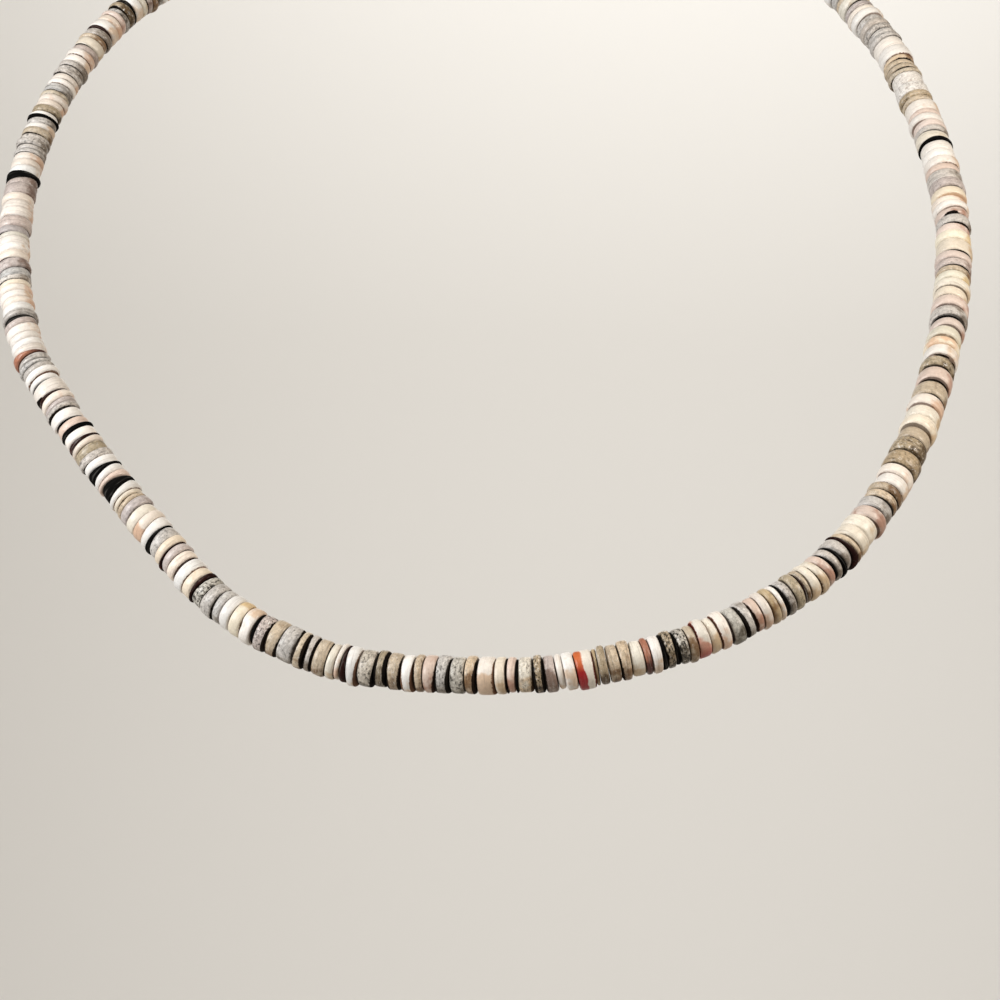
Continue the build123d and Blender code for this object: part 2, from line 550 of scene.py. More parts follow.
@dataclass(frozen=True)
class SteelFinish:
    """Brushed pale steel, brushed round the barrel and a little worn.

    Attributes:
        colour: of the bare metal.
        tarnish: colour in the worn patches.
        roughness: before the brushing's own variation.
        brushing: scale of the brushing along the three axes, per millimetre.
        patches: scale of the worn patches.
        relief: how deep the brushing is, in millimetres.
    """

    colour: Colour = (214, 211, 205)
    tarnish: Colour = (150, 142, 128)
    roughness: float = 0.26
    brushing: tuple[float, float, float] = (9.0, 0.6, 0.6)
    patches: float = 0.5
    relief: float = 0.01

    def material(self) -> bpy.types.Material:
        """Makes the material.

        Returns:
            The material.
        """
        nodes = Nodes("brushed_steel")
        place = nodes.place()
        brushed = nodes.noise(nodes.vector("MULTIPLY", place, self.brushing), 1.0, 4.0, 0.7)
        patches = nodes.noise(place, self.patches, 4.0)
        colour = nodes.mix(nodes.step(patches, 0.5, 0.72), linear(self.colour), linear(self.tarnish))
        rough = nodes.math("ADD", nodes.math("MULTIPLY", brushed, 0.2), self.roughness - 0.06)
        nodes.surface(
            base_color=colour,
            metallic=1.0,
            roughness=nodes.math("ADD", rough, nodes.math("MULTIPLY", patches, 0.12)),
            normal=nodes.bump(brushed, self.relief * MM),
        )
        return nodes.material


@dataclass(frozen=True)
class SheetFinish:
    """Plain pale matt sheet.

    Attributes:
        colour: of the sheet.
    """

    colour: Colour = (222, 219, 213)

    def material(self) -> bpy.types.Material:
        """Makes the material.

        Returns:
            The material.
        """
        nodes = Nodes("pale_sheet")
        nodes.surface(base_color=linear(self.colour), roughness=0.95, specular_ior_level=0.1)
        return nodes.material


# The route

# Across and back from the neck's axis, seen from above. It starts at the front, where the
# two charts meet, and goes round by the +X side.
ROUTE = [
    (3.5, -54.8), (16.0, -54.0), (31.2, -50.5), (44.9, -43.8), (54.5, -34.4), (61.0, -21.7),
    (64.6, -6.0), (64.4, 8.0), (60.8, 23.0), (54.0, 39.0), (42.5, 54.0), (25.0, 65.2),
    (1.0, 69.2), (-24.0, 65.8), (-44.0, 55.8), (-58.0, 42.0), (-65.2, 27.0), (-67.9, 12.0),
    (-67.0, -2.3), (-62.4, -15.5), (-53.6, -26.8), (-41.9, -38.2), (-29.8, -48.0), (-14.5, -53.6),
]


@dataclass
class Route:
    """The closed line that the thread follows.

    Attributes:
        width: across the loop, to the middle of the thread.
        depth: from the front to the nape.
        rise: height of the nape above the front.
        arch: how far the sides stand above a straight line from front to nape.
        front_drop: how far the front hangs below the origin.
        steps: fine steps from one route point to the next.
        line: the fine steps, the first one again at the end.
        along: distance of each from the first.
    """

    width: float = 132.5
    depth: float = 124.0
    rise: float = 112.8
    arch: float = 6.2
    front_drop: float = 50.5
    steps: int = 24
    line: list[Vector] = field(default_factory=list)
    along: list[float] = field(default_factory=list)

    def __post_init__(self) -> None:
        """Draws the fine line and measures along it."""
        across = [x for x, _ in ROUTE]
        back = [y for _, y in ROUTE]
        drawn_width, drawn_depth = max(across) - min(across), max(back) - min(back)
        front_share = min(back) / drawn_depth
        points = [Vector((x * self.width / drawn_width, y * self.depth / drawn_depth)) for x, y in ROUTE]
        for i, b in enumerate(points):
            a, c, d = (points[(i + k) % len(points)] for k in (-1, 1, 2))
            for step in range(self.steps):
                t = step / self.steps
                spot = (
                    b * 2
                    + (c - a) * t
                    + (a * 2 - b * 5 + c * 4 - d) * t**2
                    + (b * 3 - a - c * 3 + d) * t**3
                ) / 2
                share = spot.y / self.depth - front_share
                height = self.rise * share + 4 * self.arch * share * (1 - share) - self.front_drop
                self.line.append(Vector((spot.x, spot.y, height)))
        self.line.append(self.line[0])
        self.along.append(0.0)
        for here, there in zip(self.line, self.line[1:]):
            self.along.append(self.along[-1] + (there - here).length)

    @property
    def length(self) -> float:
        """Length of the whole loop."""
        return self.along[-1]

    @property
    def nape(self) -> float:
        """Distance along the route to its furthest point back."""
        return self.along[max(range(len(self.line)), key=lambda i: self.line[i].y)]

    def heading(self, i: int) -> Vector:
        """Unit direction of the line's step number i."""
        steps = len(self.line) - 1
        return (self.line[i % steps + 1] - self.line[i % steps]).normalized()

    def place(self, distance: float) -> Matrix:
        """Place and turn across the thread at a distance from the front, +X side first.

        Args:
            distance: along the route, in millimetres.

        Returns:
            A matrix in millimetres whose x points away from the neck, y up and z along the
            thread, against the route's direction.
        """
        distance %= self.length
        i = bisect_right(self.along, distance) - 1
        share = (distance - self.along[i]) / (self.along[i + 1] - self.along[i])
        start = self.heading(i - 1) + self.heading(i)
        end = self.heading(i) + self.heading(i + 1)
        back = -start.lerp(end, share).normalized()
        up = Vector((0, 0, 1))
        up = (up - back * up.dot(back)).normalized()
        out = up.cross(back)
        turn = Matrix((out, up, back)).transposed().to_4x4()
        spot = self.line[i].lerp(self.line[i + 1], share)
        return Matrix.Translation(spot) @ turn


# The discs

# Discs from the front outwards: the kind of shell, the thickness in THICKNESS_UNIT and any
# marks. A dash is bare thread of that length.
RIGHT_CHART = """
W20q -2 C10 N3 K7 B4 C14s -4 O9s -3 M13 W8 W11 U5 Z19r D5 O9 -3 A11 -3 A12 C15
T8q W12 B5 O10s B5 S11s A11 Z15qr C13 P12 N4 S13 -4 G11 -3 K10 P11 D11 W6 B5
G10 O11 N5 A5 C12 C12 K10 B5 G8 B6 G11 N8 A7 C18 C21 K14 U6 G11 U6 A9
A12 W18 P13 U6 O16 U6 O17 U6 A16 C20 C19 P16 U5 A20 U5 K20 U5 O13 U5 W18
R16jf Y18j K14 B5 G14 U5 K19 C17 C15 Y14 A7 U6 M9 U4 K10 U4 C20 Y17 K13 U5
G14 K13kf W12 P12 R12 U5 M15 G18 U5 K9 W15 W15 W17 B7 C16 G10 K12 W13 K11 W23
A10 O11 W21s W23s A9 A9 A9 A9 W22 W24 G11 G11 G11 G13
"""
LEFT_CHART = """
-4 A11 S15 -4 G14 -4 K12 A9 -3 W12 -4 A13 -4 O11 -4 S15 -5 W11 N7 P6 C12 A15 -4
G8 -3 A9 -4 G18 -3 A14 -4 M14s B5 W15np Y16p W14 G11 -4 G16 S15 N6u C15 W15 N5 P11 M11 N6
C12 G14 B7 W14 P15q C15 M14 A8 C8 W12 B16 K9 W10 B11 W13 G13 O14 P8 N7 W13 B6 K12 B6
W14 G9 M9 P9 N7 W19k B5 W8 W11 G10 G9 G7 T10pvo P12 W12 P12 W13 M9 B8 G10 W13 P12 W12 P11
C8 G9 G15 M14 N6 P14 W13 P13 C9 M13 M16 N6 P14 P14 P14 M19 M15 B12o W13 P12 P12 G9 G9
G11 G11 A13 W11 G10 B7 W8 O12 P12 P11 A8 G10 G6 W8 N4 P9 G9 G9
"""
# Goes on from either chart to the clasp, over and over
NAPE_CHART = """
G12 W13 P11 M9 B5 C14 A10 G12 N6 W15 P12 K9 G10 O11 B7 W14 C12 M10 A9 G14 W11 P13
N5 G9 A12 C15 B6 W12 K10 G11 M12 W16 O9 P10 A11 G12
"""
# How wide the strings are: share of the way to the clasp, share of DISC_DIAMETER
RIGHT_WIDTHS = [(0.0, 1.01), (0.35, 1.02), (0.48, 1.06), (0.60, 1.03), (1.0, 0.99)]
LEFT_WIDTHS = [(0.0, 1.01), (0.30, 0.99), (0.55, 0.96), (0.68, 0.93), (1.0, 0.97)]
# How far their discs lean towards the front: share of the way, degrees
RIGHT_LEANS = [
    (0.0, -7.0), (0.06, -5.0), (0.12, 0.0), (0.3, 6.0), (0.42, 2.0), (0.55, -6.0), (1.0, -6.0),
]
LEFT_LEANS = [
    (0.0, -7.0), (0.08, -2.0), (0.22, 7.0), (0.4, 12.0), (0.6, 12.0), (0.8, 0.0), (1.0, 0.0),
]
THICKNESS_UNIT = 0.1
DISC_DIAMETER = 5.0
DISC_GAP = 0.12
THINNEST_LAST_DISC = 0.6
STRETCHES_PER_SIDE = 7
CLASP_LENGTH = 11.0
# The discs' own unevenness, taken in turn, and the shares of their radius that are then left
DISC_SHARES = (1.00, 0.97, 1.02, 0.98, 1.02, 0.96, 1.01, 0.99, 0.95, 1.02, 0.98)
RADIUS_SHARES = (0.94, 1.0)
# How far a proud disc stands out, away from the neck
PROUD_REACH = 0.3

# Height round which the strings curve, as seen from the front
MIDDLE_HEIGHT = 15.0
# Way in which the warm patches gather, away from the key light so that they are partly painted shade, and
# the way towards someone facing the wearer
SHADE_WAY, VIEW_WAY = Vector((0.7, 0.0, -0.7)), Vector((0.0, -1.0, 0.0))
# How far the ways of layers, cracks, patches, marked patches and wedges stray, in radians
LAYER_DRIFT, CRACK_DRIFT, SHADE_DRIFT, PATCH_DRIFT, WEDGE_DRIFT = 0.9, 0.1, 0.35, 0.2, 0.5

# Thickness that a dark disc charted as USUAL_DARK shows: share of the way, millimetres
DARK_SIZES = [(0.0, 0.30), (0.2, 0.26), (0.3, 0.12), (1.0, 0.12)]
USUAL_DARK = 0.5
# How much more it shows for each millimetre more, and how far that varies
DARK_GAIN, DARK_SHARES = 1.4, (0.75, 1.3)
# Room left for a smoky disc, whose neighbours also take some of the gaps beside it
SMOKY_SIZE = (-0.12, -0.05)
# The least that a dark disc shows
LEAST_SIZE = 0.02
# Below THIN_SIZE a disc is a dark line, with these shares of its radius and of its offset
THIN_SIZE, SUNK, CENTRED = 0.3, 0.89, 0.3
# Below FILM_SIZE it takes none of the gaps, and is only FILM_SPARE thicker
FILM_SIZE, FILM_SPARE = 0.1, 0.01

# Kinds that keep a wider gap than this are dull
DULL_GAP = 0.025
# Depth of a dark layer, partly dark shell and partly painted shade of the gap between discs: beside bare
# thread, of a dull disc and of another
BARE_LAYER, DULL_LAYER, PALE_LAYER = (0.06, 0.16), (0.05, 0.18), (0.03, 0.09)
# Chances that a disc has a layer, and that either it or the one before has
DULL_CHANCES, PALE_CHANCES = (0.55, 0.8), (0.3, 0.45)
CRACK_COLOUR = (18, 12, 10)
# Depth of a crack, and the cosine from its way at which it starts; then both for one in front
CRACK, CRACK_EDGE = 0.8, 0.4
FRONT_CRACK, FRONT_CRACK_EDGE = 0.4, 0.9

# Most that one disc's faces lean apart, as a share of its thickness over its radius
STEEPEST = 0.4
# Shares of its thickness, or of WEDGE_SIZE if that is less, that a wedge loses to its thin side
WEDGE_SHARES, WEDGE_SIZE = (0.75, 1.0), 0.9


@dataclass
class Disc:
    """One shell disc of a string.

    Attributes:
        shell: its kind.
        marks: what sets it apart.
        start: distance of its near face from the front, along its own side.
        size: its thickness.
        radius: of its rim.
        off: how far it sits off the thread's middle, across x and y.
        layer_way: direction in which its dark layers are deepest.
        shade_and_patch_way: direction in which the patches gather: towards the front on a disc marked so,
            else away from the key light, where they are painted shade.
        facing: +1 if its z points away from the front of the string, else -1.
        near_layer: depth of the dark layer along its near face, nothing if below 0.
        far_layer: depth of the dark layer along its far face.
        near: slopes of its near face across x and y.
        far: slopes of its far face.
    """

    shell: Shell
    marks: frozenset[Mark]
    start: float
    size: float
    radius: float
    off: Vector
    layer_way: float
    shade_and_patch_way: float
    facing: int
    near_layer: float = -1.0
    far_layer: float = -1.0
    near: Vector = field(default_factory=lambda: Vector((0, 0)))
    far: Vector = field(default_factory=lambda: Vector((0, 0)))

    @property
    def turn(self) -> Vector:
        """Slopes across the middle of the disc."""
        return (self.near + self.far) / 2

    @property
    def wedge(self) -> Vector:
        """How much more the face at +z slopes than the one at -z."""
        return (self.far - self.near) * self.facing


@dataclass(frozen=True)
class Gathering:
    """Where the patch colour of a disc gathers: where its mark puts it, else on the side away from the key
    light, as painted shade.

    Attributes:
        strength: how far it gathers, 0 to 1, or more for a hard edge.
        reach: where it starts and where it is full, in radii from the disc's middle.
        heading: direction across the disc, in radians, if it isn't the disc's own.
        cloud: how far patches cloud the rest of the disc, if it isn't the kind's own.
    """

    strength: float
    reach: tuple[float, float] = (-0.4, 1.1)
    heading: float | None = None
    cloud: float | None = None


@dataclass(frozen=True)
class Bleeding:
    """How the patch colour of a disc runs in from its near face.

    Attributes:
        fading: how fast it fades from that face, not at all if 0.
        low_reach: heights between which it turns to the kind's low colour, in radii.
        paler: share of the body's colour in it.
    """

    fading: float = 0.0
    low_reach: tuple[float, float] = (0.55, -0.05)
    paler: float = 0.0


GATHERINGS = {
    Mark.PATCH_ABOVE: Gathering(1.2, (0.0, 1.2), math.pi / 2, 0.1),
    Mark.PATCH_BELOW: Gathering(2.0, (-0.7, 0.7), -math.pi / 2),
    Mark.PATCH_IN_FRONT: Gathering(0.65, (0.1, 1.0)),
}
BLEEDING, BLEEDING_BELOW = Bleeding(3.4), Bleeding(1.2, (-0.2, -1.05), 0.35)


@dataclass
class DiscMaker:
    """Turns one disc: drilled, eased along its rims, worn out of round.

    Attributes:
        segments: corners round the blank, before the surface is subdivided.
        bore: radius of the drilled hole.
        ease: how far the rims are rounded off.
        ease_share: most of the thickness that the rounding of one rim takes.
        out_of_round: usual share by which the rim's radius varies.
        taper: usual share by which it changes from one face to the other.
        rim_wear: usual share by which a single corner's radius varies.
        face_wear: usual unevenness of the corners along the axis.
        crease: how sharply the rims stay when the surface is subdivided.
        notch: half width in radians and depth share of a notch in the rim.
        chips: how many chips a rim has, taken at random.
        chip_widths: least and most half width of a chip, in radians.
        chip_depths: least and most depth share.
        lightness: usual share by which a disc is lighter or darker than its kind.
        warmth: usual share by which it is redder or bluer.
        grain: least and most share of its kind's layers and specks.
        grain_room: how far apart the discs may lie in the shell that their grain is cut from.
        more_specks: strength that the mark SPECKS adds.
    """

    segments: int = 16
    bore: float = 0.58
    ease: float = 0.26
    ease_share: float = 0.27
    out_of_round: float = 0.018
    taper: float = 0.012
    rim_wear: float = 0.005
    face_wear: float = 0.012
    crease: float = 0.32
    notch: tuple[float, float] = (0.5, 0.28)
    chips: tuple[int, ...] = (0, 0, 1, 1, 2)
    chip_widths: tuple[float, float] = (0.35, 0.7)
    chip_depths: tuple[float, float] = (0.02, 0.06)
    lightness: float = 0.06
    warmth: float = 0.02
    grain: tuple[float, float] = (0.6, 1.3)
    grain_room: float = 400.0
    more_specks: float = 0.8

    def blank(self, radius: float, size: float) -> bmesh.types.BMesh:
        """Makes a plain drilled disc with eased rims, its axis along z.

        Args:
            radius: of the rim.
            size: thickness.

        Returns:
            A closed mesh of a few dozen faces.
        """
        shape = bmesh.new()
        bmesh.ops.create_cone(
            shape, cap_ends=True, segments=self.segments, radius1=radius, radius2=radius, depth=size
        )
        ease = min(self.ease, size * self.ease_share)
        rims = {edge for face in self.caps(shape) for edge in face.edges}
        bmesh.ops.bevel(
            shape, geom=list(rims), offset=ease, offset_type="OFFSET", segments=1,
            profile=0.5, affect="EDGES", material=-1,
        )
        for cap in self.caps(shape):
            bmesh.ops.inset_region(
                shape, faces=[cap], thickness=radius - ease - self.bore, use_even_offset=True
            )
        bmesh.ops.delete(shape, geom=self.caps(shape), context="FACES_ONLY")
        bmesh.ops.bridge_loops(shape, edges=[edge for edge in shape.edges if edge.is_boundary])
        bmesh.ops.recalc_face_normals(shape, faces=shape.faces)
        crease = shape.edges.layers.float.new("crease_edge")
        # The edges of the rims and of the hole lie level and turn a corner
        for edge in shape.edges:
            low, high = sorted(vert.co.z for vert in edge.verts)
            if high - low < size * 0.01 and edge.calc_face_angle(0.0) > math.radians(20):
                edge[crease] = self.crease
        return shape

    def caps(self, shape: bmesh.types.BMesh) -> list[bmesh.types.BMFace]:
        """The flat end faces of a blank that isn't drilled yet."""
        return [face for face in shape.faces if len(face.verts) > 4]

    def make(self, disc: Disc, draw: random.Random) -> bmesh.types.BMesh:
        """Makes one disc with its wear, shell colours and lean.

        Args:
            disc: the disc.
            draw: its own random draws.

        Returns:
            Its mesh in millimetres, round its own middle.
        """
        tone = TONES[disc.shell]
        size = disc.size + (DISC_GAP - 2 * tone.gap if disc.size > FILM_SIZE else FILM_SPARE)
        shape = self.blank(disc.radius, size)
        self.wear(shape, disc, size, draw)
        self.paint(shape, disc, tone, size / 2, draw)
        self.lean(shape, disc, size / 2)
        return shape

    def wear(self, shape: bmesh.types.BMesh, disc: Disc, size: float, draw: random.Random) -> None:
        """Takes the blank out of round and chips its rims.

        Args:
            shape: the blank.
            disc: the disc that it turns into.
            size: its thickness.
            draw: its own random draws.
        """
        # Subdividing draws the corners in to this share
        shrink = 0.75 + 0.25 * math.cos(math.tau / self.segments)
        waves = [
            (k, draw.gauss(0, self.out_of_round) / (k - 1), draw.uniform(0, math.tau)) for k in (2, 3, 5)
        ]
        taper = draw.gauss(0, self.taper)
        chips = self.chipped(disc, draw)
        for vert in shape.verts:
            angle = math.atan2(vert.co.y, vert.co.x)
            share = (1 + sum(a * math.cos(k * (angle - at)) for k, a, at in waves)) / shrink
            share *= 1 + taper * vert.co.z / size
            # The hole stays round
            if vert.co.xy.length < disc.radius * 0.5:
                vert.co.xy *= 1 / shrink
                continue
            for at, reach, deep, side in chips:
                away = abs((angle - at + math.pi) % math.tau - math.pi)
                bite = deep * (1 - smooth(0.2 * reach, reach, away))
                if vert.co.z * side >= 0:
                    share -= bite
            vert.co.xy *= share + draw.gauss(0, self.rim_wear)
            vert.co.z += draw.gauss(0, self.face_wear)

    def chipped(self, disc: Disc, draw: random.Random) -> list[tuple[float, float, float, float]]:
        """Chooses where the rim is chipped.

        Args:
            disc: the disc.
            draw: its own random draws.

        Returns:
            For each chip its angle and half width in radians, its depth share and its face.
        """
        found = []
        if Mark.NOTCHED in disc.marks:
            # On the side away from the neck
            found.append((draw.uniform(-0.2, 0.2), *self.notch, 1.0))
        for _ in range(draw.choice(self.chips)):
            deep, side = draw.uniform(*self.chip_depths), draw.choice((-1.0, 1.0))
            found.append((draw.uniform(0, math.tau), draw.uniform(*self.chip_widths), deep, side))
        return found

    def paint(
        self, shape: bmesh.types.BMesh, disc: Disc, tone: ShellTone, half: float, draw: random.Random
    ) -> None:
        """Writes the disc's colours and grain on its corners, for the shell finish to read.

        Args:
            shape: the disc's mesh, not leant yet.
            disc: the disc.
            tone: colours and grain of its kind.
            half: half its thickness.
            draw: its own random draws.
        """
        spots = shape.verts.layers
        local, seed = spots.float_vector.new("local"), spots.float_vector.new("seed")
        body, patch, face, grain = (
            spots.float_color.new(name) for name in ("body", "patch", "face", "grain")
        )
        offset = Vector([draw.uniform(0, self.grain_room) for _ in range(3)])
        body_colour, patch_colour, face_colour = self.tinted(tone, draw)
        marked = (found for mark, found in GATHERINGS.items() if mark in disc.marks)
        gathering, bleeding = next(marked, Gathering(tone.below)), Bleeding()
        if Mark.BLEEDING in disc.marks:
            bleeding = BLEEDING_BELOW if Mark.PATCH_BELOW in disc.marks else BLEEDING
        heading = disc.shade_and_patch_way
        if gathering.heading is not None:
            heading = gathering.heading + draw.gauss(0, PATCH_DRIFT)
        cloud = tone.cloud if gathering.cloud is None else gathering.cloud
        low_colour = linear(tone.low) if tone.low else patch_colour
        patch_colour = blended(patch_colour, body_colour, bleeding.paler)
        if Mark.CRACKED in disc.marks:
            face_colour = linear(CRACK_COLOUR)
        way = Vector((math.cos(heading), math.sin(heading)))
        layering, specks = (share * draw.uniform(*self.grain) for share in (tone.layers, tone.specks))
        if Mark.SPECKS in disc.marks:
            specks += self.more_specks
        for vert in shape.verts:
            vert[local] = vert.co
            vert[seed] = offset
            # Patches gather along a heading: a marked disc's own, else away from the key light, where they
            # are painted shade
            gathered = smooth(*gathering.reach, vert.co.xy.dot(way) / disc.radius)
            deep = smooth(*bleeding.low_reach, vert.co.y / disc.radius)
            # The finish turns from the body to the patch colour where this passes 0.25 to 0.8
            spread = cloud * 0.5 + gathering.strength * gathered * 0.8 - 0.1
            spread -= bleeding.fading * (disc.facing * vert.co.z / half / 2 - 0.03) * (1 + 0.6 * deep)
            near_inside, far_inside = self.layered(disc, vert.co)
            vert[body] = (*body_colour, near_inside)
            vert[patch] = (*blended(patch_colour, low_colour, deep), spread)
            vert[face] = (*face_colour, far_inside)
            vert[grain] = (layering, specks, half, tone.gloss)

    def tinted(self, tone: ShellTone, draw: random.Random) -> list[Colour]:
        """Makes the kind's colours a little lighter or warmer for one disc.

        Args:
            tone: the kind's colours and grain.
            draw: the disc's own random draws.

        Returns:
            The body, patch and face colours, scene-linear.
        """
        lightness = math.exp(draw.gauss(0, self.lightness))
        warmth = draw.gauss(0, self.warmth)
        tint = (lightness * (1 + warmth), lightness, lightness * (1 - warmth))
        return [
            tuple(value * share for value, share in zip(linear(colour), tint))
            for colour in (tone.body, tone.patch, tone.face)
        ]

    def layered(self, disc: Disc, spot: Vector) -> tuple[float, float]:
        """How far a spot is inside the dark layers of both faces, in tenths of a millimetre.

        Args:
            disc: the disc.
            spot: in the disc's own frame.

        Returns:
            The depth inside the near layer and the far one, below 0 outside them.
        """
        along_way = math.cos(math.atan2(spot.y, spot.x) - disc.layer_way)
        deepest = 0.4 + 0.6 * along_way
        if Mark.CRACKED in disc.marks:
            edge = FRONT_CRACK_EDGE if Mark.PATCH_IN_FRONT in disc.marks else CRACK_EDGE
            deepest = smooth(edge, 1.0, along_way)
        return tuple(
            ((layer * deepest if layer > 0 else -1.0) - (disc.size / 2 + side * spot.z)) * 10
            for layer, side in ((disc.near_layer, disc.facing), (disc.far_layer, -disc.facing))
        )

    def lean(self, shape: bmesh.types.BMesh, disc: Disc, half: float) -> None:
        """Wedges the disc, turns it to its lean and sets it off the thread's middle.

        Args:
            shape: its mesh.
            disc: the disc.
            half: half its thickness.
        """
        for vert in shape.verts:
            vert.co.z += disc.wedge.dot(vert.co.xy) * vert.co.z / (2 * half)
        off = Vector((*disc.off, 0))
        turn = Matrix.Rotation(disc.turn.y, 4, "X") @ Matrix.Rotation(-disc.turn.x, 4, "Y")
        bmesh.ops.transform(shape, matrix=Matrix.Translation(off) @ turn, verts=shape.verts)


@dataclass
class DiscString:
    """One side's string of discs, from the front to the clasp.

    Attributes:
        side: "left" or "right", by the X side that it lies on.
        chart: its discs.
        widths: how wide the string is: share of the way to the clasp, share of DISC_DIAMETER.
        leans: how far the discs lean towards the front: share of the way, degrees.
        room: length of thread that the discs fill.
        route: the line that they follow.
        place: distance along the route for a distance from the front.
        facing: +1 if a disc's z points away from the front, else -1.
        wander: how much the lean changes from one disc to the next, as a slope.
        keep: share of the lean that stays from one disc to the next.
        closing: share of a length of bare thread that its two discs reach into, each.
        slack: how far a disc may sit off the thread's middle.
        maker: turns the discs.
        discs: in order from the front.
    """

    side: str
    chart: str
    widths: list[tuple[float, float]]
    leans: list[tuple[float, float]]
    room: float
    route: Route
    place: Callable[[float], float]
    facing: int
    wander: float = 0.036
    keep: float = 0.8
    closing: float = 0.5
    slack: float = 0.18
    maker: DiscMaker = field(default_factory=DiscMaker)
    discs: list[Disc] = field(default_factory=list)

    def __post_init__(self) -> None:
        """Reads the chart, thins the dark discs and leans them all."""
        self.string()
        self.thin()
        self.settle()

    def string(self) -> None:
        """Puts the charted discs on the thread, the last one as thick as the room left."""
        at, bare, chart = DISC_GAP / 2, 0.0, self.chart
        draw = random.Random(f"layers {self.side}")
        while True:
            for token in chart.split():
                letter, number, marks = re.fullmatch(r"([A-Z-])(\d+)([a-z]*)", token).groups()
                size = float(number) * THICKNESS_UNIT
                last = at + size + DISC_GAP + THINNEST_LAST_DISC > self.room
                if letter == "-":
                    at, bare = at + size, size
                    continue
                if last:
                    size = self.room - at - DISC_GAP
                disc = self.next_disc(Shell(letter), frozenset(map(Mark, marks)), at, size, draw)
                self.layer(disc, bare, draw)
                self.discs.append(disc)
                if last:
                    return
                at, bare = at + size + DISC_GAP, 0.0
            chart = NAPE_CHART

    def next_disc(
        self, shell: Shell, marks: frozenset[Mark], at: float, size: float, draw: random.Random
    ) -> Disc:
        """Chooses the radius, the place and the ways of the next disc.

        Args:
            shell: its kind.
            marks: what sets it apart.
            at: distance of its near face from the front.
            size: its thickness.
            draw: the string's random draws.

        Returns:
            The disc, without layers and lean.
        """
        share = table_value(self.widths, (at + size / 2) / self.room)
        share *= DISC_SHARES[len(self.discs) % len(DISC_SHARES)]
        radius = DISC_DIAMETER * share / 2 * draw.uniform(*RADIUS_SHARES)
        off_way, off_reach = draw.uniform(0, math.tau), draw.uniform(0, self.slack)
        off = Vector((off_reach * math.cos(off_way), off_reach * math.sin(off_way)))
        if Mark.PROUD in marks:
            off = Vector((PROUD_REACH, 0))
        in_front = Mark.PATCH_IN_FRONT in marks
        drift = CRACK_DRIFT if Mark.CRACKED in marks else LAYER_DRIFT
        layer_way = self.across(at, VIEW_WAY if in_front else self.opening(at)) + draw.gauss(0, drift)
        shade_and_patch_way = self.across(at, VIEW_WAY if in_front else SHADE_WAY) + draw.gauss(0, SHADE_DRIFT)
        return Disc(shell, marks, at, size, radius, off, layer_way, shade_and_patch_way, self.facing)

    def opening(self, at: float) -> Vector:
        """Way in which the curved string opens its gaps: outwards, as seen from the front."""
        spot = self.route.place(self.place(at)).translation
        return Vector((spot.x, 0, spot.z - MIDDLE_HEIGHT))

    def across(self, at: float, way: Vector) -> float:
        """Angle of a way across the disc at a distance from the front, in radians."""
        local = self.route.place(self.place(at)).to_3x3().transposed() @ way
        return math.atan2(local.y, local.x)

    def thin(self) -> None:
        """Lets the neighbours of the dark discs take some of their room."""
        draw = random.Random(f"thin {self.side}")
        for before, disc, after in zip(self.discs, self.discs[1:], self.discs[2:]):
            if disc.shell not in DARK_KINDS or Mark.PROUD in disc.marks:
                continue
            usual = table_value(DARK_SIZES, disc.start / self.room)
            left = (usual + DARK_GAIN * (disc.size - USUAL_DARK)) * draw.uniform(*DARK_SHARES)
            if disc.shell is Shell.SMOKE:
                left = draw.uniform(*SMOKY_SIZE)
            taken = max(disc.size - left, 0.0) / 2
            size = min(max(left, LEAST_SIZE), disc.size)
            disc.start += (disc.size - size) / 2
            disc.size = size
            if disc.size < THIN_SIZE:
                disc.radius *= SUNK
                disc.off *= CENTRED
            before.size += taken
            after.start -= taken
            after.size += taken

    def layer(self, disc: Disc, bare: float, draw: random.Random) -> None:
        """Gives a disc and the one before it the dark layers where they meet, partly dark shell and partly
        painted shade of the gap between them.

        Args:
            disc: the new disc.
            bare: bare thread before it, which both reach into.
            draw: the string's random draws.
        """
        before = self.discs[-1] if self.discs else None
        dull = TONES[disc.shell].gap > DULL_GAP
        chance, deep = draw.random(), draw.uniform(*(DULL_LAYER if dull else PALE_LAYER))
        own, either = DULL_CHANCES if dull else PALE_CHANCES
        # Both discs reach into the bare thread, and their dark layers over it are painted shade of the gap
        if bare:
            reach = bare * self.closing
            disc.start -= reach
            disc.size += reach
            disc.near_layer = reach + draw.uniform(*BARE_LAYER)
            if before:
                before.size += reach
                before.far_layer = reach + draw.uniform(*BARE_LAYER)
        elif before and DARK_KINDS.isdisjoint((before.shell, disc.shell)):
            if chance < own:
                disc.near_layer = deep
            elif chance < either:
                before.far_layer = deep
        if Mark.CRACKED in disc.marks:
            disc.near_layer = FRONT_CRACK if Mark.PATCH_IN_FRONT in disc.marks else CRACK
        if Mark.JOINED in disc.marks:
            disc.near_layer = before.far_layer = -1.0

